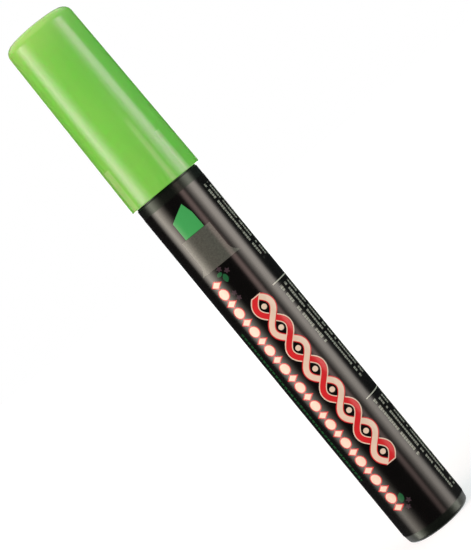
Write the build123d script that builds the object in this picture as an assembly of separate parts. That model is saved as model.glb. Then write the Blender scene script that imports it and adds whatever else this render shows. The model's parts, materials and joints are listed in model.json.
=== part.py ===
from build123d import *
import math
import os

# A liquid chalk marker with a valve that opens when the nib is pressed.
# Millimetres. The marker stands on its tail: +Z runs from the tail to the cap, X is the nib's width.
# The origin is the middle of the tail's foot.

# Barrel
barrel_diameter = 16.5
barrel_wall = 1.5
barrel_body_length = 94.85
barrel_neck_length = 10.3
barrel_neck_relief = 0.2
tail_taper = 0.4
tail_taper_length = 2.5
tail_edge_radius = 1.0
tail_floor = 2.0
tail_floor_chamfer = 1.2
tail_recess_diameter = 8.4
tail_recess_depth = 0.5
shoulder_gap = 0.25
snap_bead_height = 0.14
snap_bead_width = 1.6
snap_bead_drop = 4.2
front_land_step = 0.06
front_land_margin = 1.4

# Label
label_film = 0.06
label_glue = 0.01
label_tail_margin = 0.05
label_cap_margin = 2.7
label_seam = 0.4

# Cap
cap_mouth_clearance = 0.11
cap_mouth_wall = 1.0
cap_wall = 1.3
cap_top = 1.25
cap_draft = 0.86
cap_dome_radius = 51.0
cap_edge_radius = 2.1
cap_seat_gap = 0.05
cap_rib_count = 6
cap_rib_width = 0.9
cap_rib_clearance = 0.03
cap_rib_root = 0.3

# Seal cup in the cap
liner_wall = 0.7
liner_top = 0.8
liner_side_gap = 0.2
liner_top_gap = 0.1
liner_lip_gap = 0.6
liner_edge = 1.0
seal_clearance = 0.03

# Nib
nib_width = 6.0
nib_thickness = 4.2
nib_corner = 1.1
nib_exposure = 8.0
nib_slant = 28.0
nib_edge_land = 1.3
nib_bevel = 27.0
nib_long_corner = 1.0
nib_long_corner_drop = 2.7
nib_rear_chamfer = 0.4
nib_travel = 1.4
nib_stop_clearance = 0.6
nib_headroom = 5.5

# Collar that holds the nib
collar_flange = 1.2
collar_flange_clearance = 0.25
collar_seal_length = 7.0
collar_seal_bead = 0.12
collar_seal_bead_width = 1.4
collar_seal_bead_drop = 2.4
collar_shoulder_land = 0.15
collar_roof = 1.0
sleeve_length = 11.0
sleeve_wall = 0.75
sleeve_draft = 0.6
sleeve_channel = 0.35
sleeve_grip_gap = 0.06
sleeve_rib_width = 0.6
sleeve_rib_setback = 0.8
spigot_length = 9.0
spigot_wall = 1.1
spigot_bead = 0.15
spigot_bead_width = 1.2
spigot_fit = 0.02

# Drip ring round the nib's root
absorber_side_gap = 0.05
absorber_nib_gap = 0.15
absorber_foot = 0.6
absorber_roof_gap = 0.05

# Valve
seat_ledge = 0.4
seat_fit = 0.02
seat_web = 2.0
seat_lap = 0.65
seat_cone_margin = 0.1
seat_flange = 1.0
seat_flange_clearance = 0.2
seat_skirt_wall = 0.9
cage_fit = 0.02
cage_wall = 0.75
cage_insert = 5.0
cage_flange = 1.0
cage_flange_width = 1.0
cage_length = 10.0
cage_floor = 1.4
cage_window_count = 4
cage_window_width = 3.6
cage_window_top = 1.0
cage_window_sill = 0.5
stem_rod_diameter = 2.0
stem_head_flow = 0.7
stem_head_height = 1.2
stem_seat_gap = 0.03
stem_tip_gap = 0.03
stem_guide_clearance = 0.06
stem_tail = 1.5
spring_wire = 0.4
spring_wire_sides = 8
spring_turns = 6
spring_edge = 0.15
spring_boss_height = 0.6
spring_boss_clearance = 0.1
spring_end_gap = 0.02

# Ball
ball_diameter = 5.0
ball_rest_gap = 0.02

# Small moulded edges
edge_break = 0.2
lead_in = 0.4

# Levels along the marker
rim_z = barrel_body_length + barrel_neck_length
shoulder_z = barrel_body_length - shoulder_gap
flange_top_z = rim_z + collar_flange
collar_shoulder_z = flange_top_z + collar_seal_length
sleeve_top_z = collar_shoulder_z + sleeve_length
nib_tip_z = sleeve_top_z + nib_exposure
nib_rear_z = rim_z + nib_stop_clearance + nib_travel
pocket_top_z = collar_shoulder_z - collar_roof
liner_lip_z = flange_top_z + liner_lip_gap
liner_ceiling_z = nib_tip_z + nib_headroom
liner_top_z = liner_ceiling_z + liner_top
cap_ceiling_z = liner_top_z + liner_top_gap
cap_top_z = cap_ceiling_z + cap_top
cap_step_z = rim_z + cap_seat_gap
tank_floor_z = tail_recess_depth + tail_floor
spigot_end_z = rim_z - spigot_length
seat_end_z = spigot_end_z - seat_flange
cage_flange_end_z = seat_end_z - cage_flange
cage_end_z = cage_flange_end_z - cage_length
cage_floor_z = cage_end_z + cage_floor
web_z = rim_z - seat_web

# Radii, from the outside of the barrel outwards to the cap and inwards to the valve
barrel_r = barrel_diameter / 2
neck_r = barrel_r - barrel_neck_relief
bead_r = neck_r + snap_bead_height
bore_r = barrel_r - barrel_wall
land_r = bore_r + front_land_step
cap_mouth_bore_r = bead_r + cap_mouth_clearance
cap_mouth_r = cap_mouth_bore_r + cap_mouth_wall
cap_slope = math.tan(math.radians(cap_draft))
cap_crown_r = cap_mouth_r - cap_slope * (cap_top_z - barrel_body_length)
cap_bore_low_r = cap_mouth_r - cap_slope * (cap_step_z - barrel_body_length) - cap_wall
cap_bore_high_r = cap_mouth_r - cap_slope * (cap_ceiling_z - barrel_body_length) - cap_wall
liner_r = cap_bore_high_r - liner_side_gap
liner_bore_r = liner_r - liner_wall
seal_r = liner_bore_r - seal_clearance
flange_r = cap_bore_low_r - collar_flange_clearance
spigot_bead_r = land_r - spigot_fit
spigot_r = spigot_bead_r - spigot_bead
spigot_bore_r = spigot_r - spigot_wall
pocket_r = spigot_bore_r - seat_ledge
seat_r = spigot_bore_r - seat_fit
seat_flange_r = spigot_r - seat_flange_clearance
skirt_bore_r = seat_r - seat_skirt_wall
cage_r = skirt_bore_r - cage_fit
cage_bore_r = cage_r - cage_wall
cage_flange_r = cage_r + cage_flange_width
head_r = cage_bore_r - stem_head_flow
seat_hole_r = head_r - seat_lap
rod_r = stem_rod_diameter / 2
wire_r = spring_wire / 2
coil_r = head_r - spring_edge - wire_r
boss_r = coil_r - wire_r - spring_boss_clearance
ball_r = ball_diameter / 2

# The sleeve's round outside clears the corners of its oblong bore by the sleeve's wall
channel_width = nib_width + 2 * sleeve_channel
channel_thickness = nib_thickness + 2 * sleeve_channel
channel_corner = nib_corner + sleeve_channel
channel_reach = math.hypot(channel_width / 2 - channel_corner, channel_thickness / 2 - channel_corner)
sleeve_tip_r = channel_reach + channel_corner + sleeve_wall
sleeve_base_r = sleeve_tip_r + sleeve_length * math.tan(math.radians(sleeve_draft))
flare_radius = seal_r - sleeve_base_r - collar_shoulder_land

# The stem's 45 degree cone lies parallel to the seat's, which is a little wider than the stem's head
seat_cone_depth = seat_lap + seat_cone_margin
cone_offset = stem_seat_gap * math.sqrt(2)
head_cone_low_z = web_z + seat_cone_depth + seat_hole_r - head_r - cone_offset
head_cone_high_z = head_cone_low_z + head_r - rod_r
head_end_z = head_cone_low_z - stem_head_height


def turned(*corners):
    """A solid turned about Z from the corners of its half section: (radius, height, easing).

    An easing above zero is the radius of a rounded corner, and below zero the size of a chamfer.
    """
    points = []
    rounds = []
    for number, (r, z, easing) in enumerate(corners):
        corner = Vector(r, z)
        if easing >= 0:
            points.append(corner)
            rounds.append(easing)
            continue
        for neighbour in (corners[number - 1], corners[(number + 1) % len(corners)]):
            side = Vector(neighbour[0], neighbour[1]) - corner
            points.append(corner + side.normalized() * -easing)
            rounds.append(0)
    outline = FilletPolyline(points, radius=rounds, close=True)
    return revolve(Plane.XZ * make_face(outline.edges()), Axis.Z)


def bead(root_r, crown_r, middle_z, width):
    """The corners of a ring bead with sloped flanks, from its upper flank down."""
    return [
        (root_r, middle_z + width / 2, 0),
        (crown_r, middle_z + width / 4, 0),
        (crown_r, middle_z - width / 4, 0),
        (root_r, middle_z - width / 2, 0),
    ]


def oblong(width, thickness, corner, low_z, high_z):
    """An upright bar of rounded rectangular section."""
    return Pos(0, 0, low_z) * extrude(RectangleRounded(width, thickness, corner), high_z - low_z)


def barrel():
    """Barrel and ink tank in one moulding, with a closed tail and a reduced neck for the cap."""
    snap = bead(neck_r, bead_r, rim_z - snap_bead_drop, snap_bead_width)
    land_z = spigot_end_z - front_land_margin
    recess_r = tail_recess_diameter / 2
    return turned(
        (0, tail_recess_depth, 0),
        (recess_r, tail_recess_depth, 0),
        (recess_r, 0, -edge_break),
        (barrel_r - tail_taper, 0, tail_edge_radius),
        (barrel_r, tail_taper_length, 0),
        (barrel_r, shoulder_z, 0),
        (neck_r, shoulder_z, 0),
        *reversed(snap),
        (neck_r, rim_z, -lead_in),
        (land_r, rim_z, -edge_break),
        (land_r, land_z, 0),
        (bore_r, land_z - front_land_step, 0),
        (bore_r, tank_floor_z, -tail_floor_chamfer),
        (0, tank_floor_z, 0),
    )


def barrel_label():
    """Printed film wrapped once round the barrel, its two edges a seam apart at the back."""
    inner_r = barrel_r + label_glue
    low_z = tail_taper_length + label_tail_margin
    high_z = barrel_body_length - label_cap_margin
    section = Pos(inner_r + label_film / 2, (low_z + high_z) / 2) * Rectangle(label_film, high_z - low_z)
    seam_angle = math.degrees(label_seam / inner_r)
    wrap = revolve(Plane.XZ * section, Axis.Z, 360 - seam_angle)
    return Rot(0, 0, 90 + seam_angle / 2) * wrap


def front_collar():
    """Nib holder: a beaded spigot in the barrel, a flange on its rim, a seal neck and the nib's sleeve."""
    seal_root_r = seal_r - collar_seal_bead
    seal = bead(seal_root_r, seal_r, collar_shoulder_z - collar_seal_bead_drop, collar_seal_bead_width)
    low_bead = bead(spigot_r, spigot_bead_r, spigot_end_z + spigot_length / 4, spigot_bead_width)
    high_bead = bead(spigot_r, spigot_bead_r, rim_z - spigot_length / 4, spigot_bead_width)
    body = turned(
        (0, pocket_top_z, 0),
        (0, sleeve_top_z, 0),
        (sleeve_tip_r, sleeve_top_z, -lead_in),
        (sleeve_base_r, collar_shoulder_z, flare_radius),
        (seal_root_r, collar_shoulder_z, 0),
        *seal,
        (seal_root_r, flange_top_z, 0),
        (flange_r, flange_top_z, -edge_break),
        (flange_r, rim_z, 0),
        (spigot_r, rim_z, 0),
        *high_bead,
        *low_bead,
        (spigot_r, spigot_end_z, -lead_in),
        (spigot_bore_r, spigot_end_z, -edge_break),
        (spigot_bore_r, rim_z, 0),
        (pocket_r, rim_z, 0),
        (pocket_r, pocket_top_z, 0),
    )
    body -= oblong(channel_width, channel_thickness, channel_corner, pocket_top_z, sleeve_top_z)
    for rib in sleeve_ribs():
        body += rib
    return body


def sleeve_ribs():
    """Ribs along the sleeve's bore that grip the nib: two on each broad side, one on each narrow side."""
    root = sleeve_wall / 2
    depth = sleeve_channel - sleeve_grip_gap + root
    high_z = sleeve_top_z - sleeve_rib_setback
    height = high_z - pocket_top_z
    middle_z = (high_z + pocket_top_z) / 2
    broad_y = nib_thickness / 2 + sleeve_grip_gap + depth / 2
    narrow_x = nib_width / 2 + sleeve_grip_gap + depth / 2
    ribs = []
    for side in (-1, 1):
        for x in (-nib_width / 4, nib_width / 4):
            ribs.append(Pos(x, side * broad_y, middle_z) * Box(sleeve_rib_width, depth, height))
        ribs.append(Pos(side * narrow_x, 0, middle_z) * Box(depth, sleeve_rib_width, height))
    return ribs


def nib():
    """Chisel nib: an oblong bar cut to a slanted edge, bevelled on both broad faces."""
    half = nib_width / 2
    slope = math.tan(math.radians(nib_slant))
    tip_x = half - nib_long_corner
    short_z = nib_tip_z - slope * (tip_x + half)
    bar = oblong(nib_width, nib_thickness, nib_corner, nib_rear_z, nib_tip_z)
    rear = bar.faces().sort_by(Axis.Z)[0]
    bar = chamfer(rear.edges(), nib_rear_chamfer)
    front = make_face(
        Polyline(
            (-half, nib_rear_z),
            (-half, short_z),
            (tip_x, nib_tip_z),
            (half, nib_tip_z - nib_long_corner_drop),
            (half, nib_rear_z),
            close=True,
        ).edges()
    )
    bar &= extrude(Plane.XZ * front, nib_thickness / 2, both=True)
    return bar & nib_wedge(tip_x)


def nib_wedge(tip_x):
    """The space between the two bevels, which run along the slanted edge."""
    along = Vector(math.cos(math.radians(nib_slant)), 0, math.sin(math.radians(nib_slant)))
    across = Plane(origin=(tip_x, 0, nib_tip_z), x_dir=(0, 1, 0), z_dir=along)
    half_land = nib_edge_land / 2
    reach = nib_thickness / 2
    bevel_depth = (reach - half_land) / math.tan(math.radians(nib_bevel))
    root = nib_tip_z - nib_rear_z + nib_width
    wedge = make_face(
        Polyline(
            (-half_land, 0),
            (half_land, 0),
            (reach, -bevel_depth),
            (reach, -root),
            (-reach, -root),
            (-reach, -bevel_depth),
            close=True,
        ).edges()
    )
    return extrude(across * wedge, root, both=True)


def nib_absorber():
    """Fibre ring in the collar's pocket, round the root of the nib."""
    low_z = rim_z + absorber_foot
    high_z = pocket_top_z - absorber_roof_gap
    ring = Pos(0, 0, low_z) * extrude(Circle(pocket_r - absorber_side_gap), high_z - low_z)
    ring = chamfer(ring.edges().filter_by(GeomType.CIRCLE), edge_break)
    opening = 2 * absorber_nib_gap
    return ring - oblong(nib_width + opening, nib_thickness + opening, nib_corner, low_z, high_z)


def valve_seat():
    """Plug in the spigot: a web with a conical seat on its tank side, and a skirt for the cage."""
    return turned(
        (seat_hole_r, web_z + seat_cone_depth, 0),
        (seat_hole_r, rim_z, 0),
        (seat_r, rim_z, -edge_break),
        (seat_r, spigot_end_z, 0),
        (seat_flange_r, spigot_end_z, 0),
        (seat_flange_r, seat_end_z, -edge_break),
        (skirt_bore_r, seat_end_z, 0),
        (skirt_bore_r, web_z, 0),
        (seat_hole_r + seat_cone_depth, web_z, 0),
    )


def valve_cage():
    """Windowed cage under the seat: it guides the stem's tail and carries the spring on its floor."""
    cage = turned(
        (cage_bore_r, seat_end_z + cage_insert, 0),
        (cage_r, seat_end_z + cage_insert, -edge_break),
        (cage_r, seat_end_z, 0),
        (cage_flange_r, seat_end_z, 0),
        (cage_flange_r, cage_flange_end_z, -edge_break),
        (cage_r, cage_flange_end_z, 0),
        (cage_r, cage_end_z, -lead_in),
        (rod_r + stem_guide_clearance, cage_end_z, 0),
        (rod_r + stem_guide_clearance, cage_floor_z + spring_boss_height, 0),
        (boss_r, cage_floor_z + spring_boss_height, 0),
        (boss_r, cage_floor_z, 0),
        (cage_bore_r, cage_floor_z, 0),
    )
    window_low_z = cage_floor_z + cage_window_sill
    window_high_z = cage_flange_end_z - cage_window_top
    height = window_high_z - window_low_z
    window = Pos(cage_r, 0, (window_low_z + window_high_z) / 2) * Box(cage_r, cage_window_width, height)
    for number in range(cage_window_count):
        cage -= Rot(0, 0, 360 * number / cage_window_count) * window
    return cage


def valve_stem():
    """Stem with a conical head that shuts the seat, a rod up to the nib and a guided tail."""
    tip_z = nib_rear_z - stem_tip_gap
    tail_z = cage_end_z - stem_tail
    return turned(
        (0, tail_z, 0),
        (rod_r, tail_z, -lead_in),
        (rod_r, head_end_z - spring_boss_height, 0),
        (boss_r, head_end_z - spring_boss_height, 0),
        (boss_r, head_end_z, 0),
        (head_r, head_end_z, 0),
        (head_r, head_cone_low_z, 0),
        (rod_r, head_cone_high_z, 0),
        (rod_r, tip_z, -edge_break),
        (0, tip_z, 0),
    )


def spring_path():
    """A helix about Z drawn as two tangent arcs for each half turn."""
    low_z = cage_floor_z + wire_r + spring_end_gap
    rise = head_end_z - wire_r - spring_end_gap - low_z
    half_turns = 2 * spring_turns
    lead = rise / (half_turns * math.pi * coil_r)

    def point(number):
        return Vector(coil_r * (-1) ** number, 0, low_z + rise * number / half_turns)

    def heading(number):
        return Vector(0, (-1) ** number, lead).normalized()

    arcs = []
    for number in range(half_turns):
        start, end = point(number), point(number + 1)
        leave, arrive = heading(number), heading(number + 1)
        chord = end - start
        spread = 2 * (1 - leave.dot(arrive))
        run = chord.dot(leave + arrive)
        reach = (math.sqrt(run**2 + spread * chord.dot(chord)) - run) / spread
        first, last = start + leave * reach, end - arrive * reach
        middle = (first + last) * 0.5
        arcs.append(TangentArc(start, middle, tangent=leave))
        arcs.append(TangentArc(middle, end, tangent=last - first))
    return Wire([arc.edge() for arc in arcs])


def spring_self_gap(path, samples_per_turn=48):
    """The least gap between neighbouring turns of the wire, measured on points of its centre line."""
    count = samples_per_turn * spring_turns
    points = [path.position_at(number / count) for number in range(count + 1)]
    apart = samples_per_turn // 2
    nearest = min((a - b).length for i, a in enumerate(points) for b in points[i + apart :])
    return nearest - spring_wire


def valve_spring():
    """Open-wound steel compression spring between the cage's floor and the stem's head."""
    path = spring_path()
    print(f"valve_spring: least gap between turns {spring_self_gap(path):.2f} mm")
    section = Plane(origin=path @ 0, z_dir=path % 0) * RegularPolygon(wire_r, spring_wire_sides)
    return sweep(section, path=path)


def mixing_ball():
    """Loose steel ball on the floor of the tank."""
    return Pos(0, 0, tank_floor_z + ball_rest_gap + ball_r) * Sphere(ball_r)


def cap_shell():
    """Push-on cap: drafted outside with a low dome, wider bore over the barrel's neck, ribs for the liner."""
    outside = turned(
        (0, barrel_body_length, 0),
        (cap_mouth_r, barrel_body_length, -edge_break),
        (cap_crown_r, cap_top_z, 0),
        (0, cap_top_z, 0),
    )
    outside &= Pos(0, 0, cap_top_z - cap_dome_radius) * Sphere(cap_dome_radius)
    crown_edge = outside.edges().filter_by(lambda edge: edge.is_closed).sort_by(Axis.Z)[-1]
    outside = fillet(crown_edge, cap_edge_radius)
    hollow = turned(
        (0, barrel_body_length, 0),
        (cap_mouth_bore_r, barrel_body_length, 0),
        (cap_mouth_bore_r, cap_step_z, 0),
        (cap_bore_low_r, cap_step_z, 0),
        (cap_bore_high_r, cap_ceiling_z, cap_wall - cap_edge_radius),
        (0, cap_ceiling_z, 0),
    )
    shell = outside - hollow
    inner_r = liner_r + cap_rib_clearance
    outer_r = cap_bore_low_r + cap_rib_root
    low_z = liner_lip_z
    high_z = cap_ceiling_z - cap_edge_radius
    rib = Pos((inner_r + outer_r) / 2, 0, (low_z + high_z) / 2) * Box(
        outer_r - inner_r, cap_rib_width, high_z - low_z
    )
    for number in range(cap_rib_count):
        shell += Rot(0, 0, 360 * number / cap_rib_count) * rib
    return shell


def cap_liner():
    """Seal cup inside the cap, closing on the bead of the collar's neck."""
    return turned(
        (0, liner_ceiling_z, 0),
        (liner_bore_r, liner_ceiling_z, 0),
        (liner_bore_r, liner_lip_z, -edge_break),
        (liner_r, liner_lip_z, -edge_break),
        (liner_r, liner_top_z, -liner_edge),
        (0, liner_top_z, 0),
    )


pieces = {
    "barrel": barrel(),
    "barrel_label": barrel_label(),
    "front_collar": front_collar(),
    "nib": nib(),
    "nib_absorber": nib_absorber(),
    "valve_seat": valve_seat(),
    "valve_stem": valve_stem(),
    "valve_spring": valve_spring(),
    "valve_cage": valve_cage(),
    "mixing_ball": mixing_ball(),
    "cap_shell": cap_shell(),
    "cap_liner": cap_liner(),
}

os.makedirs("parts", exist_ok=True)
for name, shape in pieces.items():
    export_step(shape, f"parts/{name}.step")

ball_travel = cage_end_z - stem_tail - nib_travel - ball_rest_gap - tank_floor_z - ball_diameter
print(f"overall length {cap_top_z:.2f} mm, cap diameter {2 * cap_mouth_r:.2f} mm, rim at {rim_z:.2f} mm")
print(f"nib travel {nib_travel:.2f} mm, ball travel {ball_travel:.2f} mm at most")
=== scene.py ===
import json
import math

import bmesh
import bpy
from mathutils import Matrix, Vector

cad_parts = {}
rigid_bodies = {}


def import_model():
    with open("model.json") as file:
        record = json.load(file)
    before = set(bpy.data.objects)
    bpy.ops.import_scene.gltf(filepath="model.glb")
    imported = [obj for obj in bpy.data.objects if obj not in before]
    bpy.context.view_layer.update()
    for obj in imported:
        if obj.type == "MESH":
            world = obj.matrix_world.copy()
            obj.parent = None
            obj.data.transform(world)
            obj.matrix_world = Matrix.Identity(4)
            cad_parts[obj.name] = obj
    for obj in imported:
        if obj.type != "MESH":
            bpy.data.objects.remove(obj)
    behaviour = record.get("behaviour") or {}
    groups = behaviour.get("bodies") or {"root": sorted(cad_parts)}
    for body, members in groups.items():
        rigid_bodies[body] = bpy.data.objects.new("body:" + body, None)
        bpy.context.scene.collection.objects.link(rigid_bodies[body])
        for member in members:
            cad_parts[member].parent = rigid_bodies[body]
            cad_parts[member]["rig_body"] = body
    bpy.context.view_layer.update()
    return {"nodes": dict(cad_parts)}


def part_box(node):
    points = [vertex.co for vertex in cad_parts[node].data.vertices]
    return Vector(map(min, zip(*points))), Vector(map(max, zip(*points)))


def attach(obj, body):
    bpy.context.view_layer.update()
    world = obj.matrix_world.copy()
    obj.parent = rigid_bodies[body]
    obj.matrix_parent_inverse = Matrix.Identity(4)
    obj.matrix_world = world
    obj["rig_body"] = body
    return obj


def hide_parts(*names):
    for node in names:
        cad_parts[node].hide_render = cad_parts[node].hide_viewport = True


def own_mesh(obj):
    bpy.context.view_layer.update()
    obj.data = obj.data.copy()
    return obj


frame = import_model()

# Lengths below are in millimetres; Blender's are in metres
mm = 0.001


def extent(node):
    """The lowest and highest corner of a CAD node in millimetres."""
    low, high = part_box(node)
    return low / mm, high / mm


_, barrel_high = extent("barrel")
label_low, label_high = extent("barrel_label")
collar_low, collar_high = extent("front_collar")
nib_low, nib_high = extent("nib")
seat_low, seat_high = extent("valve_seat")
stem_low, stem_high = extent("valve_stem")
spring_low, spring_high = extent("valve_spring")
ball_low, ball_high = extent("mixing_ball")
cap_low, cap_high = extent("cap_shell")
liner_low, liner_high = extent("cap_liner")

# Barrel
barrel_radius = barrel_high.x
barrel_bore = 6.75
neck_radius = 8.05
shoulder_z = 94.6
rim_z = barrel_high.z
snap_bead_radius = 8.19
snap_bead_z = rim_z - 4.2
snap_bead_width = 1.6
front_land_radius = 6.81
front_land_z = 94.75
tail_taper = 0.4
tail_taper_z = 2.5
tail_taper_round = 3.0
tail_edge = 1.0
tail_recess_radius = 4.2
tail_recess = 0.5
tank_floor_z = 2.5
tank_floor_round = 1.2

# Label
label_radius = label_high.x
label_film_thickness = 0.06
label_seam = 0.4

# Cap and liner
cap_mouth_radius = 9.3
cap_mouth_bore = 8.3
cap_draft = math.tan(math.radians(0.86))
cap_wall = 1.3
cap_top = 1.25
cap_step_gap = 0.05
cap_step_z = rim_z + cap_step_gap
cap_bore_margin = 0.1
cap_dome_radius = 51.0
cap_dome_rings = 8
cap_crown_round = 2.1
cap_dome_inset = 1.4 * cap_crown_round
cap_inner_round = 0.8
cap_ribs = 6
cap_rib_width = 0.9
cap_rib_gap = 0.03
cap_rib_tip_radius = liner_high.x + cap_rib_gap
liner_wall = 0.7
liner_top = 0.8
liner_crown_round = 1.0

# Collar
flange_radius = collar_high.x
flange_top_z = rim_z + 1.2
seal_radius = 6.411
seal_root = 6.291
seal_bead_drop = 2.4
seal_bead_width = 1.4
collar_shoulder_z = flange_top_z + 7.0
collar_roof = 1.0
sleeve_top_z = collar_high.z
sleeve_tip_radius = 4.347
sleeve_tip_land = 0.45
sleeve_base_radius = 4.462
sleeve_flare = 1.75
channel_width = 6.7
channel_thickness = 4.9
channel_corner = 1.45
channel_countersink = 0.2
spigot_radius = 6.64
spigot_bead_radius = 6.79
spigot_bead_width = 1.2
spigot_bore = 5.54
spigot_length = 9.0
pocket_radius = 5.14

# Nib
nib_width = nib_high.x - nib_low.x
nib_thickness = nib_high.y - nib_low.y
nib_corner = 1.1
nib_slant = math.radians(28)
nib_bevel = math.radians(27)
nib_edge_land = 1.3
nib_long_corner = 1.0
nib_long_corner_drop = 2.7
nib_worn_edge = 0.16
nib_worn_angle = math.radians(17)

# Valve
valve_hole = 2.5
valve_cone_depth = 0.75
seat_web = 2.0
seat_skirt_bore = 4.62
seat_flange = 1.0
seat_gap = 0.02
stem_rod = 1.0
stem_head_radius = stem_high.x
stem_boss_radius = 2.5
stem_boss_height = 0.6
stem_head_end_z = 102.008
stem_head_height = 1.2
stem_cone_ease = 0.3
spring_wire_radius = 0.2
spring_coil_radius = 2.8
spring_turns = 6

# Small moulded edges
lead_edge = 0.4
bead_ease = 0.3
fine_edge = 0.2
hairline_edge = 0.1
crease = 0.05

# How finely round forms are divided, and how near points lie that are joined
round_steps = 144
corner_steps = 6
edge_steps = 3
spring_turn_steps = 36
wire_steps = 12
ball_divisions = 4
sharp_angle = math.radians(42)
weld = 0.001
nib_weld = 0.01
nib_sliver = 0.005


# Recipes of nodes

class Value:
    """A socket whose sums are written as Python sums; each one adds a Math node."""

    def __init__(self, recipe, socket):
        self.recipe = recipe
        self.socket = socket

    def math(self, operation, *others):
        inputs = dict(enumerate((self, *others)))
        return self.recipe.node("ShaderNodeMath", {"operation": operation}, inputs)

    def __add__(self, other):
        return self.math("ADD", other)

    def __radd__(self, other):
        return self.math("ADD", other)

    def __sub__(self, other):
        return self.math("SUBTRACT", other)

    def __rsub__(self, other):
        return (self * -1) + other

    def __mul__(self, other):
        return self.math("MULTIPLY", other)

    def __rmul__(self, other):
        return self.math("MULTIPLY", other)

    def __truediv__(self, other):
        return self.math("DIVIDE", other)

    def __neg__(self):
        return self * -1

    def __abs__(self):
        return self.math("ABSOLUTE")

    def sin(self):
        return self.math("SINE")

    def cos(self):
        return self.math("COSINE")

    def root(self):
        return self.math("SQRT")

    def angle(self, other):
        """The angle whose tangent is this value over another."""
        return self.math("ARCTAN2", other)

    def floor(self):
        return self.math("FLOOR")

    def fraction(self):
        return self.math("FRACT")

    def least(self, other):
        return self.math("MINIMUM", other)

    def most(self, other):
        return self.math("MAXIMUM", other)

    def clipped(self):
        return self.most(0.0).least(1.0)

    def mask(self, softness):
        """1 where the value is above zero and 0 below, over a soft edge."""
        return (self / softness + 0.5).clipped()


class Recipe:
    """The node tree of a finish, a lamp or the surroundings."""

    def __init__(self, owner, output):
        self.owner = owner
        owner.use_nodes = True
        self.tree = owner.node_tree
        self.tree.nodes.clear()
        self.output = self.tree.nodes.new(output)

    def node(self, kind, settings=None, inputs=None, output=0):
        """Adds a node; its settings are set first, then the values or links of its sockets."""
        node = self.tree.nodes.new(kind)
        for name, value in (settings or {}).items():
            if name == "stops":
                self.set_stops(node.color_ramp, value)
            else:
                setattr(node, name, value)
        for name, value in (inputs or {}).items():
            if isinstance(value, Value):
                self.tree.links.new(value.socket, node.inputs[name])
            else:
                node.inputs[name].default_value = value
        if isinstance(output, tuple):
            return tuple(Value(self, node.outputs[name]) for name in output)
        return Value(self, node.outputs[output])

    def set_stops(self, ramp, stops):
        """Writes a ramp's stops, each (position, grey level)."""
        while len(ramp.elements) < len(stops):
            ramp.elements.new(1.0)
        for element, (position, level) in zip(ramp.elements, stops):
            element.position = position
            element.color = (level, level, level, 1.0)

    def place(self):
        """The point on the object, in metres."""
        return self.node("ShaderNodeTexCoord", output="Object")

    def split(self, vector):
        return self.node("ShaderNodeSeparateXYZ", inputs={0: vector}, output=("X", "Y", "Z"))

    def join(self, x, y, z):
        return self.node("ShaderNodeCombineXYZ", inputs={"X": x, "Y": y, "Z": z})

    def stretched(self, vector, x, y, z):
        return self.node("ShaderNodeVectorMath", {"operation": "MULTIPLY"}, {0: vector, 1: (x, y, z)})

    def noise(self, vector, grain, detail=2.0, roughness=0.5):
        """Soft noise whose grains are about as large as given, in millimetres."""
        inputs = {"Vector": vector, "Scale": 1 / (grain * mm), "Detail": detail, "Roughness": roughness}
        return self.node("ShaderNodeTexNoise", inputs=inputs)

    def mix(self, share, first, second):
        """A colour between two others."""
        return self.node("ShaderNodeMix", {"data_type": "RGBA"}, {0: share, 6: first, 7: second}, 2)

    def relief(self, height, depth):
        """A bumped normal; depth is the height of the relief in millimetres."""
        inputs = {"Strength": 1.0, "Distance": depth * mm, "Height": height}
        return self.node("ShaderNodeBump", inputs=inputs)

    def principled(self, **inputs):
        named = {name.replace("_", " "): value for name, value in inputs.items()}
        return self.node("ShaderNodeBsdfPrincipled", inputs=named)

    def show(self, shader):
        self.tree.links.new(shader.socket, self.output.inputs["Surface"])
        return self.owner


def finish(name):
    """An empty recipe for a material."""
    return Recipe(bpy.data.materials.new(name), "ShaderNodeOutputMaterial")


def srgb(red, green, blue):
    """A colour from 0 to 255 levels, as Blender's linear red, green, blue and alpha."""
    def linear(level):
        share = level / 255
        return share / 12.92 if share <= 0.04045 else ((share + 0.055) / 1.055) ** 2.4

    return linear(red), linear(green), linear(blue), 1.0


# Finishes

cap_green = srgb(118, 197, 74)
cap_light_green = srgb(136, 203, 88)
# Painted light: the cap is painted paler towards the crown, standing in for light falling through its
# translucent top
painted_crown_light_green = srgb(158, 208, 102)
painted_crown_light_fade = 20.0
painted_crown_light_power = 3.0

# Painted reflections: paler bands that run up from the cap's mouth to the step in the bore, below which the
# wall is thin;
# they stand in for the lamps' reflections off the inner bore seen through the wall. Each has its middle
# round the cap from the front and half its width in degrees, how far above the step it ends in millimetres,
# and its strength
mouth_reflection_green = srgb(186, 218, 146)
mouth_reflection_side = 3.0
painted_mouth_reflections = (
    (-61, 8.0, 0.4, 0.45),
    (17, 3.5, 7.0, 0.32),
    (43, 4.0, 0.4, 0.45),
    (98, 6.0, 0.4, 0.4),
    (131, 3.0, 5.0, 0.35),
    (176, 4.0, 0.4, 0.45),
    (-137, 7.0, 0.4, 0.4),
    (-104, 4.0, 6.0, 0.35),
)


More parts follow.
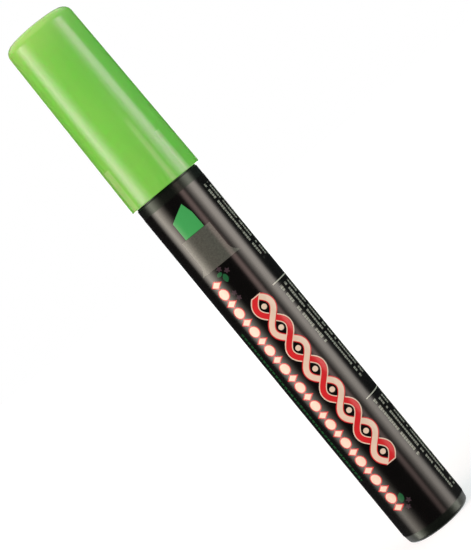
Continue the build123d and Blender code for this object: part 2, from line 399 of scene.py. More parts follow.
def cap_plastic():
    """Glossy translucent green with faint flow marks, painted paler towards the crown as painted light from
    above, and with painted reflections as paler bands at the mouth.
    """
    plastic = finish("cap plastic")
    place = plastic.place()
    flow = plastic.noise(plastic.stretched(place, 1, 1, 0.15), 4.0, 3.0)
    haze = plastic.noise(place, 0.6, 2.0)
    colour = plastic.mix(flow, cap_green, cap_light_green)
    x, y, z = plastic.split(place)
    # Painted light from above: the colour turns paler towards the crown
    painted_crown_light = ((z / mm - cap_high.z + painted_crown_light_fade) / painted_crown_light_fade).clipped()
    colour = plastic.mix(painted_crown_light.math("POWER", painted_crown_light_power), colour, painted_crown_light_green)
    around = x.angle(-y) * math.degrees(1)
    above_step = z / mm - cap_step_z
    # Painted reflections: paler bands up from the mouth, painted into the colour
    for middle, half, end, strength in painted_mouth_reflections:
        turn = abs(around - middle)
        painted_reflection = (half - turn.least(360 - turn)).mask(mouth_reflection_side)
        length = ((end - above_step) / (end / 2)).clipped()
        colour = plastic.mix(painted_reflection * length * strength, colour, mouth_reflection_green)
    wave = plastic.noise(place, 7.0, 1.0)
    return plastic.show(plastic.principled(
        Base_Color=colour,
        Roughness=0.1 + haze * 0.08,
        IOR=1.55,
        Specular_Tint=(1.0, 0.5, 0.88, 1.0),
        Subsurface_Weight=0.8,
        Subsurface_Radius=(0.35, 1.0, 0.35),
        Subsurface_Scale=0.003,
        Normal=plastic.relief(wave, 0.02),
    ))


def natural_plastic(name, colour, shade):
    """Milky unpigmented plastic."""
    plastic = finish(name)
    place = plastic.place()
    cloud = plastic.noise(place, 1.5, 3.0)
    return plastic.show(plastic.principled(
        Base_Color=plastic.mix(cloud, colour, shade),
        Roughness=0.38 + cloud * 0.16,
        IOR=1.5,
        Subsurface_Weight=0.4,
        Subsurface_Radius=(1.0, 1.0, 0.8),
        Subsurface_Scale=0.001,
        Normal=plastic.relief(plastic.noise(place, 0.12), 0.004),
    ))


def black_plastic(name, colour, gloss):
    """Satin black moulded plastic with a fine grain."""
    plastic = finish(name)
    place = plastic.place()
    grain = plastic.noise(place, 0.15, 3.0)
    draw = plastic.noise(plastic.stretched(place, 1, 1, 0.03), 0.5, 2.0)
    return plastic.show(plastic.principled(
        Base_Color=plastic.mix(draw, colour, srgb(18, 19, 17)),
        Roughness=gloss + draw * 0.1,
        IOR=1.44,
        Specular_Tint=(0.97, 1.0, 0.8, 1.0),
        Normal=plastic.relief(grain, 0.003),
    ))


def nib_fibre():
    """Bonded fibres that run along the nib, soaked with green ink."""
    fibre = finish("nib fibre")
    place = fibre.place()
    strands = fibre.noise(fibre.stretched(place, 1, 1, 0.04), 0.12, 3.0, 0.6)
    soak = fibre.noise(place, 2.5, 2.0)
    ink = fibre.mix(soak, srgb(66, 160, 84), srgb(84, 178, 92))
    return fibre.show(fibre.principled(
        Base_Color=fibre.mix(strands * 0.6, ink, srgb(38, 112, 56)),
        Roughness=0.7 + strands * 0.25,
        Normal=fibre.relief(strands, 0.06),
    ))


def absorber_fibre():
    """Pressed felt, tinted by the ink it has held back."""
    felt = finish("absorber fibre")
    place = felt.place()
    tufts = felt.noise(place, 0.25, 4.0, 0.65)
    soak = felt.noise(place, 2.0, 2.0)
    return felt.show(felt.principled(
        Base_Color=felt.mix(soak, srgb(205, 222, 198), srgb(150, 200, 150)),
        Roughness=0.8 + tufts * 0.2,
        Normal=felt.relief(tufts, 0.08),
    ))


def drawn_wire():
    """Stainless spring wire with marks of the drawing die."""
    steel = finish("spring steel")
    place = steel.place()
    marks = steel.noise(steel.stretched(place, 1, 1, 4.0), 0.3, 3.0)
    return steel.show(steel.principled(
        Base_Color=steel.mix(marks, srgb(200, 200, 198), srgb(168, 168, 166)),
        Metallic=1.0,
        Roughness=0.2 + marks * 0.18,
        Normal=steel.relief(marks, 0.002),
    ))


def polished_steel():
    """A ground and polished steel ball with a few dull patches."""
    steel = finish("ball steel")
    place = steel.place()
    smudge = steel.noise(place, 1.2, 4.0, 0.6)
    return steel.show(steel.principled(
        Base_Color=steel.mix(smudge, srgb(214, 214, 212), srgb(190, 191, 190)),
        Metallic=1.0,
        Roughness=0.05 + smudge * 0.14,
    ))


# Printing on the label, in millimetres round the barrel from the front line and along it

print_edge = 0.08
print_black = srgb(4, 3, 3)
print_soft_black = srgb(7, 5, 6)
print_cream = srgb(234, 205, 184)
print_red = srgb(214, 38, 44)
print_green = srgb(66, 163, 88)
print_dark_green = srgb(26, 74, 40)
print_pale = srgb(203, 190, 176)
print_grey = srgb(62, 62, 58)
print_light_grey = srgb(96, 96, 88)
print_leaf = srgb(30, 90, 54)
print_mauve = srgb(62, 46, 54)

drawn_nib = ((0.29, 89.93), (-4.02, 87.68), (-4.02, 83.27), (1.13, 83.27), (1.02, 87.19))
drawn_sleeve_middle = -1.42
drawn_sleeve_half = 4.0
drawn_sleeve_low = 74.6
drawn_sleeve_high = 83.2
drawn_flare = 1.7
drawn_flare_height = 2.4

rule_heights = (64.03, 32.15)
rule_half = 0.12
rule_start = 4.76
rule_end = 15.0

twist_middle = 0.1
twist_reach = 1.9
twist_pitch = 11.55
twist_half = 0.85
twist_rim = 0.22
twist_low = 18.4
twist_high = 64.6
boss_radius = 0.62

chain_middle = -5.4
chain_pitch = 5.183
chain_low = 9.4
chain_high = 71.6
chain_rim = 0.24
bead_radius = 1.45
lozenge_half = 1.03
lozenge_reach = 1.75

# Leaves: the middle round the barrel and along it, the lean in degrees, the length; flowers: the middle
sprig_leaves = ((-2.4, 71.7, 12, 2.0), (-3.1, 73.0, 80, 1.5), (-3.35, 10.9, 25, 2.3))
sprig_flowers = ((-1.15, 72.8), (-2.4, 74.0), (-3.1, 68.0), (-2.9, 66.6), (-2.25, 9.6), (-3.3, 8.4))
leaf_half_share = 0.3
flower_radius = 0.52
flower_petal = 0.14
flower_petals = 5

note_panels = ((69.5, 90.1, 1), (36.4, 62.8, 0), (5.0, 30.9, 0))
note_first_row = 6.3
note_rows = 4
note_pitch = 1.8
note_half = 0.46
note_cell = 0.62
note_stroke_share = 0.8
note_gap_share = 0.16
note_gap_steepness = 2.0
note_least_height = 0.55
note_last_row_share = 0.4
note_strength = 0.6

dotted_row = -9.4
dotted_half = 0.45
dotted_cell = 1.05
dotted_share = 0.72
dotted_low = 18.4
dotted_high = 60.0


def inside(around, height, corners):
    """How deep a point lies inside a convex outline, whose corners run anticlockwise."""
    depth = None
    for (u, v), (next_u, next_v) in zip(corners, corners[1:] + corners[:1]):
        length = math.hypot(next_u - u, next_v - v)
        across, along = (v - next_v) / length, (next_u - u) / length
        side = around * across + height * along - (u * across + v * along)
        depth = side if depth is None else depth.least(side)
    return depth


def between(value, low, high):
    """How deep a value lies between two limits."""
    return (value - low).least(high - value)


def label_film():
    """Gloss black film with a drawn nib, sprigs, a twist, a chain and ruled panels of small print."""
    film = finish("label film")
    place = film.place()
    x, y, z = film.split(place)
    around = x.angle(-y) * label_radius
    height = z / mm

    colour = film.mix(film.noise(place, 3.0), print_black, print_soft_black)

    def ink(depth, tint, under):
        return film.mix(depth.mask(print_edge), under, tint)

    # The drawn nib in its sleeve
    flare = ((drawn_sleeve_low + drawn_flare_height - height) / drawn_flare_height).most(0.0)
    half = drawn_sleeve_half + flare * flare * drawn_flare
    sleeve = half - abs(around - drawn_sleeve_middle)
    sleeve = sleeve.least(between(height, drawn_sleeve_low, drawn_sleeve_high))
    speckle = film.noise(place, 0.35, 3.0)
    colour = ink(sleeve, film.mix(speckle, print_grey, print_light_grey), colour)
    colour = ink(inside(around, height, drawn_nib), print_green, colour)

    # Sprigs of leaves and small flowers at the ends of the chain
    for middle, level, lean, length in sprig_leaves:
        sine = math.sin(math.radians(lean))
        cosine = math.cos(math.radians(lean))
        aside = around - middle
        upward = height - level
        along = aside * sine + upward * cosine
        half = leaf_half_share * length
        bow = (length**2 / 4 + half**2) / (2 * half)
        across = abs(aside * cosine - upward * sine) + (bow - half)
        colour = ink(bow - (along * along + across * across).root(), print_leaf, colour)
    for middle, level in sprig_flowers:
        aside = around - middle
        upward = height - level
        petal = (aside.angle(upward) * flower_petals).cos() * flower_petal
        flower = petal + flower_radius - (aside * aside + upward * upward).root()
        colour = ink(flower, print_mauve, colour)

    # Two-strand twist with a boss in each eye
    phase = (height - twist_low) * (2 * math.pi / twist_pitch)
    lean = phase.cos() * (twist_reach * 2 * math.pi / twist_pitch)
    steep = (lean * lean + 1.0).root()
    twist = between(height, twist_low, twist_high)
    red = (twist_half - abs(around - (phase.sin() * twist_reach + twist_middle)) / steep).least(twist)
    cream = (twist_half - abs(around - (twist_middle - phase.sin() * twist_reach)) / steep).least(twist)

    def red_strand(under):
        return ink(red - twist_rim, print_red, ink(red, print_cream, under))

    def cream_strand(under):
        return ink(cream - twist_rim, print_cream, ink(cream, print_red, under))

    crossing = lean.mask(print_edge)
    colour = film.mix(crossing, cream_strand(red_strand(colour)), red_strand(cream_strand(colour)))
    along = ((phase / math.pi).fraction() - 0.5) * (twist_pitch / 2)
    sideways = around - twist_middle
    boss = (boss_radius - (along * along + sideways * sideways).root()).least(twist)
    colour = ink(boss, print_cream, colour)

    # Chain of beads and lozenges
    step = (((height - chain_low) / chain_pitch).fraction() - 0.5) * chain_pitch
    aside = around - chain_middle
    bead_depth = bead_radius - (step * step + aside * aside).root()
    reach = (chain_pitch / 2 - abs(step)) / lozenge_half + abs(aside) / lozenge_reach
    lozenge_depth = (1 - reach) / math.hypot(1 / lozenge_half, 1 / lozenge_reach)
    ends = between(height, chain_low - lozenge_half, chain_high + lozenge_half)
    chain = bead_depth.most(lozenge_depth).least(ends)
    colour = ink(chain - chain_rim, print_cream, ink(chain, print_red, colour))

    # Ruled panels of small print, as rows of uneven dashes
    rule = between(around, rule_start, rule_end)
    level = None
    for rule_height in rule_heights:
        line = rule_half - abs(height - rule_height)
        level = line if level is None else level.most(line)
    colour = ink(rule.least(level), print_pale, colour)
    row_place = (around - note_first_row) / note_pitch + 0.5
    row = row_place.floor()
    cell = height / note_cell
    chance = film.node(
        "ShaderNodeTexWhiteNoise", {"noise_dimensions": "2D"}, {"Vector": film.join(cell.floor(), row, 0.0)}
    )
    tall = note_half * (note_least_height + (1 - note_least_height) * chance)
    stroke = (note_stroke_share / 2 - abs(cell.fraction() - 0.5)) * note_cell
    present = (chance - note_gap_share) * note_gap_steepness
    dash = (tall - abs(row_place.fraction() - 0.5) * note_pitch).least(stroke).least(present)
    last_row = (0.5 - row).mask(print_edge)
    panel = None
    for low, high, first in note_panels:
        end = last_row * ((high - low) * note_last_row_share) + low
        rows = between(height, end, high).least(row - first + 0.5)
        panel = rows if panel is None else panel.most(rows)
    note = dash.least(panel).least(note_rows - 0.5 - row)
    colour = film.mix(note.mask(print_edge) * note_strength, colour, print_pale)

    # The dotted row beyond the chain
    dot_place = (height / dotted_cell).fraction()
    dots = (dotted_share / 2 - abs(dot_place - 0.5)) * dotted_cell
    dots = (dotted_half - abs(around - dotted_row)).least(dots)
    colour = ink(dots.least(between(height, dotted_low, dotted_high)), print_dark_green, colour)

    ripple = film.noise(film.stretched(place, 1, 1, 0.35), 5.0, 1.0)
    haze = film.noise(place, 0.8, 3.0)
    return film.show(film.principled(
        Base_Color=colour,
        Roughness=0.12 + haze * 0.08,
        IOR=1.6,
        Specular_Tint=(1.0, 0.9, 0.8, 1.0),
        Normal=film.relief(ripple, 0.02),
    ))


# Shaping

def round_corner(bm, corner, radius):
    """Rounds one corner of a chain of edges."""
    first, second = (edge.other_vert(corner).co - corner.co for edge in corner.link_edges)
    turn = math.pi - first.angle(second)
    bmesh.ops.bevel(
        bm,
        geom=[corner],
        offset=radius * mm * math.tan(turn / 2),
        offset_type="OFFSET",
        affect="VERTICES",
        segments=corner_steps,
        profile=0.5,
        material=-1,
    )


def turned(corners, closed=False):
    """A form turned about Z from the corners of its half section: (radius, height, rounding)."""
    bm = bmesh.new()
    chain = [bm.verts.new((radius * mm, 0, height * mm)) for radius, height, _ in corners]
    for first, second in zip(chain, chain[1:]):
        bm.edges.new((first, second))
    if closed:
        bm.edges.new((chain[-1], chain[0]))
    for vert, (_, _, rounding) in zip(chain, corners):
        if rounding:
            round_corner(bm, vert, rounding)
    bmesh.ops.spin(
        bm,
        geom=bm.verts[:] + bm.edges[:],
        cent=(0, 0, 0),
        axis=(0, 0, 1),
        angle=2 * math.pi,
        steps=round_steps,
        use_merge=True,
    )
    bmesh.ops.remove_doubles(bm, verts=bm.verts, dist=weld * mm)
    return bm


def bead(root, painted_crown_light, middle_z, width):
    """The corners of a ring bead, from its lower flank up."""
    return [
        (root, middle_z - width / 2, bead_ease),
        (painted_crown_light, middle_z - width / 4, bead_ease),
        (painted_crown_light, middle_z + width / 4, bead_ease),
        (root, middle_z + width / 2, bead_ease),
    ]


def finished(bm, name, node, material):
    """Makes a piece of a form: it stands in for a CAD node, which it hides, rides on its body and takes the
    given material.
    """
    bmesh.ops.recalc_face_normals(bm, faces=bm.faces)
    return shown(bm, name, node, material)


def shown(bm, name, node, material):
    """Makes a piece of a form whose faces already point outwards."""
    for face in bm.faces:
        face.smooth = True
    mesh = bpy.data.meshes.new(name)
    bm.to_mesh(mesh)
    bm.free()
    mesh.set_sharp_from_angle(angle=sharp_angle)
    mesh.materials.append(material)
    piece = bpy.data.objects.new(name, mesh)
    bpy.context.scene.collection.objects.link(piece)
    shading = piece.modifiers.new("even shading", "WEIGHTED_NORMAL")
    shading.keep_sharp = True
    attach(piece, frame["nodes"][node]["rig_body"])
    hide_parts(node)
    return piece


def smooth_copy(name, node, material):
    """A copy of a CAD node whose loose triangles are joined, so that it shades smoothly."""
    bm = bmesh.new()
    bm.from_mesh(frame["nodes"][node].data)
    bmesh.ops.remove_doubles(bm, verts=bm.verts, dist=weld * mm)
    return shown(bm, name, node, material)


# Pieces

def make_barrel(plastic):
    form = turned([
        (0, tail_recess, 0),
        (tail_recess_radius, tail_recess, hairline_edge),
        (tail_recess_radius, 0, fine_edge),
        (barrel_radius - tail_taper, 0, tail_edge),
        (barrel_radius, tail_taper_z, tail_taper_round),
        (barrel_radius, shoulder_z, fine_edge),
        (neck_radius, shoulder_z, crease),
        *bead(neck_radius, snap_bead_radius, snap_bead_z, snap_bead_width),
        (neck_radius, rim_z, lead_edge),
        (front_land_radius, rim_z, fine_edge),
        (front_land_radius, front_land_z, 0),
        (barrel_bore, front_land_z - front_land_radius + barrel_bore, 0),
        (barrel_bore, tank_floor_z, tank_floor_round),
        (0, tank_floor_z, 0),
    ])
    finished(form, "marker_barrel", "barrel", plastic)


def make_label(film):
    form = bmesh.new()
    seam_angle = label_seam / label_radius
    inner = label_radius - label_film_thickness
    section = [
        form.verts.new((radius * mm, 0, height * mm))
        for radius, height in (
            (inner, label_low.z),
            (label_radius, label_low.z),
            (label_radius, label_high.z),
            (inner, label_high.z),
        )
    ]
    face = form.faces.new(section)
    start = Matrix.Rotation(math.pi / 2 + seam_angle / 2, 3, "Z")
    bmesh.ops.rotate(form, verts=section, cent=(0, 0, 0), matrix=start)
    bmesh.ops.spin(
        form,
        geom=section + list(face.edges) + [face],
        cent=(0, 0, 0),
        axis=(0, 0, 1),
        angle=2 * math.pi - seam_angle,
        steps=round_steps,
    )
    finished(form, "wrapped_label", "barrel_label", film)


def make_cap(plastic):
    def outside(height):
        return cap_mouth_radius - cap_draft * (height - cap_low.z)

    def dome(radius):
        return cap_high.z - cap_dome_radius + math.sqrt(cap_dome_radius**2 - radius**2)

    ceiling_z = cap_high.z - cap_top
    rib_high_z = ceiling_z - cap_crown_round
    crown_radius = outside(cap_high.z)
    dome_start = crown_radius - cap_dome_inset
    dome_radii = [dome_start * (1 - ring / cap_dome_rings) for ring in range(cap_dome_rings + 1)]
    form = turned([
        (0, ceiling_z, 0),
        (outside(ceiling_z) - cap_wall, ceiling_z, cap_inner_round),
        (outside(rib_high_z) - cap_wall, rib_high_z, 0),
        (outside(liner_low.z) - cap_wall, liner_low.z, 0),
        (outside(cap_step_z) - cap_wall, cap_step_z, hairline_edge),
        (cap_mouth_bore, cap_step_z, hairline_edge),
        (cap_mouth_bore, cap_low.z, fine_edge),
        (cap_mouth_radius, cap_low.z, fine_edge),
        (crown_radius, dome(crown_radius), cap_crown_round),
        *[(radius, dome(radius), 0) for radius in dome_radii],
    ])
    bmesh.ops.recalc_face_normals(form, faces=form.faces)
    add_cap_ribs(form, rib_high_z)
    finished(form, "cap", "cap_shell", plastic)


def add_cap_ribs(form, high_z):
    """Draws narrow strips of the cap's bore inwards into the ribs that hold the liner."""
    half_angle = cap_rib_width / 2 / cap_rib_tip_radius
    strips = []
    for face in form.faces:
        middle = face.calc_center_median()
        radius = math.hypot(middle.x, middle.y)
        pitch = 2 * math.pi / cap_ribs
        angle = (math.atan2(middle.y, middle.x) + pitch / 2) % pitch - pitch / 2
        on_bore = radius < (cap_mouth_bore - cap_bore_margin) * mm
        by_liner = liner_low.z * mm < middle.z < high_z * mm
        if on_bore and by_liner and abs(angle) < half_angle:
            strips.append(face)
    drawn = bmesh.ops.extrude_face_region(form, geom=strips)["geom"]
    for vert in drawn:
        if isinstance(vert, bmesh.types.BMVert):
            inward = cap_rib_tip_radius * mm / math.hypot(vert.co.x, vert.co.y)
            vert.co.x *= inward
            vert.co.y *= inward
    bmesh.ops.delete(form, geom=strips, context="FACES")


def make_liner(plastic):
    radius = liner_high.x
    form = turned([
        (0, liner_high.z - liner_top, 0),
        (radius - liner_wall, liner_high.z - liner_top, lead_edge),
        (radius - liner_wall, liner_low.z, fine_edge),
        (radius, liner_low.z, fine_edge),
        (radius, liner_high.z, liner_crown_round),
        (0, liner_high.z, 0),
    ])
    finished(form, "cap_seal_cup", "cap_liner", plastic)


def make_collar(plastic):
    """The nib's holder: a turned outside, with an oblong channel bridged into its tip and its pocket."""
    pocket_top_z = collar_shoulder_z - collar_roof
    seal = bead(seal_root, seal_radius, collar_shoulder_z - seal_bead_drop, seal_bead_width)
    low_bead = bead(spigot_radius, spigot_bead_radius, collar_low.z + spigot_length / 4, spigot_bead_width)
    high_bead = bead(spigot_radius, spigot_bead_radius, rim_z - spigot_length / 4, spigot_bead_width)
    form = turned([
        (pocket_radius, pocket_top_z, 0),
        (pocket_radius, rim_z, fine_edge),
        (spigot_bore, rim_z, 0),
        (spigot_bore, collar_low.z, fine_edge),
        (spigot_radius, collar_low.z, lead_edge),
        *low_bead,
        *high_bead,
        (spigot_radius, rim_z, 0),
        (flange_radius, rim_z, hairline_edge),
        (flange_radius, flange_top_z, fine_edge),
        (seal_root, flange_top_z, fine_edge),
        *seal,
        (seal_root, collar_shoulder_z, hairline_edge),
        (sleeve_base_radius, collar_shoulder_z, sleeve_flare),
        (sleeve_tip_radius, sleeve_top_z, lead_edge),
        (sleeve_tip_radius - sleeve_tip_land, sleeve_top_z, 0),
    ])
    ends = [edge for edge in form.edges if edge.is_boundary]
    tip = [edge for edge in ends if edge.verts[0].co.z > collar_shoulder_z * mm]
    roof = [edge for edge in ends if edge not in tip]
    mouth_z = sleeve_top_z - channel_countersink
    foot_z = pocket_top_z + channel_countersink
    mouth = oblong_loop(form, channel_width, channel_thickness, channel_corner, mouth_z)
    bmesh.ops.bridge_loops(form, edges=tip + mouth)
    channel = bmesh.ops.extrude_edge_only(form, edges=mouth)["geom"]
    foot = [item for item in channel if isinstance(item, bmesh.types.BMVert)]
    bmesh.ops.translate(form, verts=foot, vec=(0, 0, (foot_z - mouth_z) * mm))
    foot_edges = [item for item in channel if isinstance(item, bmesh.types.BMEdge) and item.is_boundary]
    bmesh.ops.bridge_loops(form, edges=roof + foot_edges)
    bmesh.ops.recalc_face_normals(form, faces=form.faces)
    bmesh.ops.bevel(
        form,
        geom=mouth,
        offset=fine_edge * mm,
        offset_type="OFFSET",
        affect="EDGES",
        segments=edge_steps,
        profile=0.5,
        material=-1,
    )
    finished(form, "nib_holder", "front_collar", plastic)


def oblong_loop(form, width, thickness, corner, height):
    """The edges of a rounded rectangle at a height."""
    size = Matrix.Diagonal((width / 2 * mm, thickness / 2 * mm, 1, 1))
    place = Matrix.Translation((0, 0, height * mm)) @ size
    grid = bmesh.ops.create_grid(form, x_segments=1, y_segments=1, size=1, matrix=place)
    rounded = bmesh.ops.bevel(
        form,
        geom=grid["verts"],
        offset=corner * mm,
        offset_type="OFFSET",
        affect="VERTICES",
        segments=corner_steps,
        profile=0.5,
        material=-1,
    )
    face = rounded["verts"][0].link_faces[0]
    edges = list(face.edges)
    bmesh.ops.delete(form, geom=[face], context="FACES_ONLY")
    return edges


def make_nib(fibre):
    """An oblong bar cut to a slanted edge and bevelled on both broad faces."""
    form = bmesh.new()
    length = nib_high.z - nib_low.z
    middle = (nib_low + nib_high) / 2 * mm
    size = Matrix.Diagonal((nib_width * mm, nib_thickness * mm, length * mm, 1))
    bmesh.ops.create_cube(form, size=1, matrix=Matrix.Translation(middle) @ size)
    uprights = [
        edge
        for edge in form.edges
        if abs(edge.verts[0].co.z - edge.verts[1].co.z) > length / 2 * mm
    ]
    bmesh.ops.bevel(
        form,
        geom=uprights,
        offset=nib_corner * mm,
        offset_type="OFFSET",
        affect="EDGES",
        segments=corner_steps,
        profile=0.5,
        material=-1,
    )
    half = nib_width / 2
    tip = Vector((half - nib_long_corner, 0, nib_high.z))
    up = Vector((-math.sin(nib_slant), 0, math.cos(nib_slant)))
    sideways = Vector((0, 1, 0))
    cut(form, tip, up)
    cut(form, tip, Vector((nib_long_corner_drop, 0, nib_long_corner)))
    for side in (-1, 1):
        edge = tip + sideways * (side * nib_edge_land / 2)
        cut(form, edge, up * math.sin(nib_bevel) + sideways * (side * math.cos(nib_bevel)))
    worn = [edge for edge in form.edges if edge.calc_face_angle(0) > nib_worn_angle]
    bmesh.ops.bevel(
        form,
        geom=worn,
        offset=nib_worn_edge * mm,
        offset_type="OFFSET",
        affect="EDGES",
        segments=edge_steps,
        profile=0.5,
        clamp_overlap=True,
        material=-1,
    )
    bmesh.ops.remove_doubles(form, verts=form.verts, dist=nib_weld * mm)
    bmesh.ops.dissolve_degenerate(form, edges=form.edges, dist=nib_sliver * mm)
    finished(form, "chisel_nib", "nib", fibre)


def cut(form, point, outward):
    """Cuts away what lies beyond a plane and closes the cut."""
    everything = form.verts[:] + form.edges[:] + form.faces[:]
    section = bmesh.ops.bisect_plane(
        form, geom=everything, plane_co=point * mm, plane_no=outward.normalized(), clear_outer=True
    )
    rim = [item for item in section["geom_cut"] if isinstance(item, bmesh.types.BMEdge)]
    bmesh.ops.edgeloop_fill(form, edges=rim)


def make_valve_seat(plastic):
    web_z = rim_z - seat_web
    skirt_end_z = seat_low.z + seat_flange
    plug_radius = spigot_bore - seat_gap
    form = turned([
        (valve_hole, web_z + valve_cone_depth, 0),
        (valve_hole, seat_high.z, hairline_edge),
        (plug_radius, seat_high.z, fine_edge),
        (plug_radius, skirt_end_z, crease),
        (seat_high.x, skirt_end_z, hairline_edge),
        (seat_high.x, seat_low.z, fine_edge),
        (seat_skirt_bore, seat_low.z, hairline_edge),
        (seat_skirt_bore, web_z, fine_edge),
        (valve_hole + valve_cone_depth, web_z, 0),
    ], closed=True)
    finished(form, "valve_seat_plug", "valve_seat", plastic)


def make_valve_stem(plastic):
    cone_z = stem_head_end_z + stem_head_height
    boss_z = stem_head_end_z - stem_boss_height
    form = turned([
        (0, stem_low.z, 0),
        (stem_rod, stem_low.z, lead_edge),
        (stem_rod, boss_z, crease),
        (stem_boss_radius, boss_z, hairline_edge),
        (stem_boss_radius, stem_head_end_z, crease),
        (stem_head_radius, stem_head_end_z, hairline_edge),
        (stem_head_radius, cone_z, hairline_edge),
        (stem_rod, cone_z + stem_head_radius - stem_rod, stem_cone_ease),
        (stem_rod, stem_high.z, fine_edge),
        (0, stem_high.z, 0),
    ])
    finished(form, "valve_plunger", "valve_stem", plastic)


def make_spring(steel):
    form = bmesh.new()
    low_z = spring_low.z + spring_wire_radius
    rise = spring_high.z - spring_wire_radius - low_z
    steps = spring_turns * spring_turn_steps
    upright = Matrix.Rotation(math.pi / 2, 4, "X")
    start = Matrix.Translation((spring_coil_radius * mm, 0, low_z * mm)) @ upright
    bmesh.ops.create_circle(form, segments=wire_steps, radius=spring_wire_radius * mm, matrix=start)
    bmesh.ops.spin(
        form,
        geom=form.verts[:] + form.edges[:],
        cent=(0, 0, 0),
        axis=(0, 0, 1),
        dvec=(0, 0, rise * mm / steps),
        angle=2 * math.pi * spring_turns,
        steps=steps,
    )
    bmesh.ops.holes_fill(form, edges=[edge for edge in form.edges if edge.is_boundary])
    piece = finished(form, "coil_spring", "valve_spring", steel)
    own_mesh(piece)


def make_ball(steel):
    form = bmesh.new()
    middle = Matrix.Translation((ball_low + ball_high) / 2 * mm)
    radius = (ball_high.z - ball_low.z) / 2 * mm
    bmesh.ops.create_icosphere(form, subdivisions=ball_divisions, radius=radius, matrix=middle)
    finished(form, "steel_ball", "mixing_ball", steel)


barrel_black = black_plastic("barrel plastic", srgb(9, 12, 9), 0.2)
collar_black = black_plastic("collar plastic", srgb(16, 16, 16), 0.3)
valve_white = natural_plastic("valve plastic", srgb(222, 223, 216), srgb(206, 208, 200))
liner_white = natural_plastic("liner plastic", srgb(224, 228, 218), srgb(208, 214, 203))

make_barrel(barrel_black)
make_label(label_film())
make_collar(collar_black)
make_nib(nib_fibre())
smooth_copy("felt_ring", "nib_absorber", absorber_fibre())
make_valve_seat(valve_white)
smooth_copy("valve_cage_body", "valve_cage", valve_white)
make_valve_stem(valve_white)
make_spring(drawn_wire())
make_ball(polished_steel())
make_cap(cap_plastic())
make_liner(liner_white)


# Studio

def make_floor():
    """A pale floor that stays white to the camera apart from the marker's shadow."""
    form = bmesh.new()
    bmesh.ops.create_grid(form, x_segments=1, y_segments=1, size=floor_half)
    mesh = bpy.data.meshes.new("floor")
    form.to_mesh(mesh)
    form.free()
    paper = finish("floor paper")
    seen = paper.node("ShaderNodeLightPath", output="Is Camera Ray")
    distance = paper.node("ShaderNodeVectorMath", {"operation": "LENGTH"}, {0: paper.place()}, "Value")
    far = (distance / floor_glow_reach).clipped()
    matt = paper.node("ShaderNodeBsdfDiffuse", inputs={"Color": floor_colour})
    level = floor_near_glow + far * (1 - floor_near_glow)
    glow = paper.node("ShaderNodeEmission", inputs={"Strength": seen * level})
    mesh.materials.append(paper.show(paper.node("ShaderNodeAddShader", inputs={0: matt, 1: glow})))
    floor = bpy.data.objects.new("floor", mesh)
    bpy.context.scene.collection.objects.link(floor)
    floor.visible_glossy = False
    floor.visible_shadow = False


def make_surroundings():
    """White to the camera, a fill dimmed overhead, and in reflections a dim room with pale surfaces."""
    world = bpy.data.worlds.new("surroundings")
    bpy.context.scene.world = world
    air = Recipe(world, "ShaderNodeOutputWorld")
    seen, mirrored, through = air.node(
        "ShaderNodeLightPath", output=("Is Camera Ray", "Is Glossy Ray", "Is Transmission Ray")
    )
    right, back, rise = air.split(air.node("ShaderNodeTexCoord", output="Generated"))
    ceiling = ((rise - ceiling_start) / ceiling_range).clipped() * ceiling_level
    backdrop = ((back - right * backdrop_lean - backdrop_start) / backdrop_range).clipped()
    below = ((sweep_start - rise) / sweep_range).clipped()
    sweep = ((back - sweep_front) / sweep_depth).clipped() * below * sweep_level
    side = ((right - side_start) / side_range).clipped()
    overhead = ((rise - overhead_start) / overhead_range).clipped()
    fill = (side * side_level + fill_level) * (1 - overhead * overhead_shade)
    strength = fill + (seen + through) * (1 - fill)
    strength = strength + mirrored * (ceiling.most(backdrop).most(sweep) + dark_room - fill)
    tint = air.mix(side, fill_tint, side_tint)
    tint = air.mix((seen + mirrored).clipped(), tint, white)
    glow = air.node("ShaderNodeBackground", inputs={"Color": tint, "Strength": strength})
    air.show(glow)


def make_softbox(name, width, height, level):
    """A rectangular lamp; level makes its radiance, from how far across and along it a point lies."""
    lamp = bpy.data.lights.new(name, "AREA")
    lamp.shape = "RECTANGLE"
    lamp.size = width
    lamp.size_y = height
    # A lamp of one watt to the square metre has a radiance of a quarter
    lamp.energy = 4 * width * height
    recipe = Recipe(lamp, "ShaderNodeOutputLight")
    across, along, _ = recipe.split(recipe.node("ShaderNodeNewGeometry", output="Parametric"))
    recipe.show(recipe.node("ShaderNodeEmission", inputs={"Strength": level(recipe, across, along)}))
    softbox = bpy.data.objects.new(name, lamp)
    bpy.context.scene.collection.objects.link(softbox)
    return softbox


def aim(lamp, place, target):
    lamp.location = place
    lamp.rotation_euler = (target - place).to_track_quat("-Z", "Y").to_euler()


def make_strip(name, start, end, peak, stops, rise, tint):
    """A soft strip seen only in reflections, between two angles from the front, splayed at its foot."""
    middle = math.radians((start + end) / 2)
    half = math.radians(abs(end - start) / 2)

    def level(recipe, across, along):
        outward = across if end > start else 1 - across
        splay = ((splay_top - along) / splay_range).clipped() * splay_share
        sideways = recipe.node("ShaderNodeValToRGB", {"stops": stops}, {"Fac": outward - splay})
        upward = recipe.node("ShaderNodeValToRGB", {"stops": rise}, {"Fac": along})
        return sideways * upward * peak

    strip = make_softbox(name, 2 * strip_distance * math.tan(half), strip_high - strip_low, level)
    strip.data.color = tint
    strip.visible_diffuse = False
    height = Vector((0, 0, (strip_low + strip_high) / 2))
    aim(strip, Vector((math.sin(middle), -math.cos(middle), 0)) * strip_distance + height, height)


def make_key():
    """A broad softbox high in front on the left, out of sight of the reflections."""
    softbox = make_softbox("key softbox", key_size, key_size, lambda recipe, across, along: key_level)
    softbox.data.color = key_tint
    softbox.visible_glossy = False
    aim(softbox, Vector(key_place), Vector(key_target))


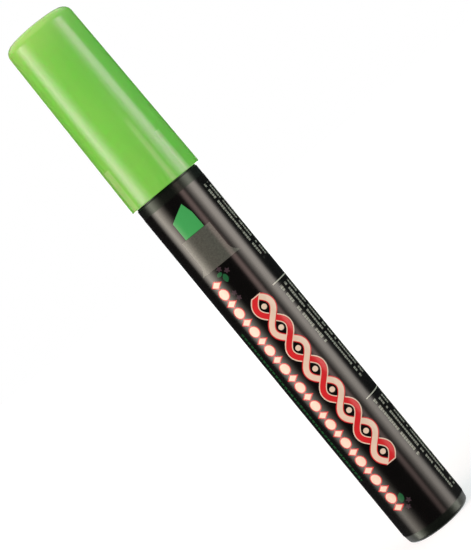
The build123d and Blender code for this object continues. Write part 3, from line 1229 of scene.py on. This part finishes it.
def make_camera():
    view = bpy.data.cameras.new("camera")
    view.sensor_width = 36.0
    view.lens = camera_focal_pixels / camera_long_side_pixels * view.sensor_width
    camera = bpy.data.objects.new("camera", view)
    bpy.context.scene.collection.objects.link(camera)
    turn = Matrix.Rotation(-math.radians(camera_turn), 4, "Z")
    tilt = Matrix.Rotation(math.radians(90 - camera_tilt), 4, "X")
    roll = Matrix.Rotation(math.radians(camera_roll), 4, "Z")
    camera.matrix_world = Matrix.Translation(Vector(camera_place) * mm) @ turn @ tilt @ roll
    bpy.context.scene.camera = camera


# Light: a level of 1 is white, places are in metres, and starts and ranges lie along a unit direction
white = (1.0, 1.0, 1.0, 1.0)
fill_level = 1.07
fill_tint = (0.8, 1.0, 0.95, 1.0)
side_level = 1.2
side_start = 0.5
side_range = 0.5
side_tint = (0.64, 1.0, 0.97, 1.0)
overhead_start = 0.3
overhead_range = 0.4
overhead_shade = 0.85
floor_half = 4.0
floor_colour = (0.42, 0.38, 0.38, 1.0)
floor_near_glow = 0.7
floor_glow_reach = 0.6
dark_room = 0.02
ceiling_level = 1.0
ceiling_start = 0.3
ceiling_range = 0.3
backdrop_start = 0.985
backdrop_range = 0.015
backdrop_lean = 0.06
sweep_start = -0.22
sweep_range = 0.15
sweep_front = -0.15
sweep_depth = 0.4
sweep_level = 1.0
strip_distance = 2.0
strip_low = -1.3
strip_high = 0.5
splay_top = 0.38
splay_range = 0.15
splay_share = 0.22
left_rise = ((0.0, 1.0), (0.3, 1.0), (0.45, 0.3), (0.75, 1.0), (0.97, 1.0), (1.0, 0.7))
card_rise = ((0.0, 0.0), (0.48, 0.25), (0.6, 1.0), (0.82, 1.0), (0.88, 0.0))
right_rise = ((0.0, 1.0), (0.3, 1.0), (0.45, 0.55), (0.75, 1.0), (0.97, 1.0), (1.0, 0.7))
left_stops = (
    (0.0, 0.0), (0.15, 0.085), (0.31, 0.325), (0.46, 0.69), (0.63, 1.0), (0.82, 0.42), (1.0, 0.03)
)
right_stops = (
    (0.0, 0.0), (0.15, 0.12), (0.32, 0.5), (0.48, 1.0), (0.67, 0.95), (0.88, 0.1), (1.0, 0.0)
)
card_stops = ((0.0, 0.0), (0.3, 0.7), (0.6, 1.0), (1.0, 0.1))
back_stops = ((0.0, 0.0), (0.5, 1.0), (1.0, 0.0))
key_level = 3.6
key_tint = (1.0, 0.75, 0.7)
key_size = 0.9
key_place = (-0.55, -0.6, 0.8)
key_target = (0, 0, 0.07)

# Camera: its place in millimetres and its angles in degrees
camera_place = (1.19, -408.49, 89.22)
camera_tilt = 2.63
camera_turn = -0.223
camera_roll = -39.374
camera_focal_pixels = 1870.4
camera_long_side_pixels = 550

make_floor()
make_surroundings()
make_strip("left strip", -38, -100, 5.2, left_stops, left_rise, (1.0, 1.0, 0.96))
make_strip("right strip", 38, 96, 4.0, right_stops, right_rise, (1.0, 1.0, 1.0))
make_strip("rose card", 18, 40, 2.1, card_stops, card_rise, (1.0, 0.8, 0.82))
make_strip("back strip", 165, 195, 2.5, back_stops, right_rise, (1.0, 1.0, 1.0))
make_key()
make_camera()
bpy.context.scene.view_settings.view_transform = "Standard"
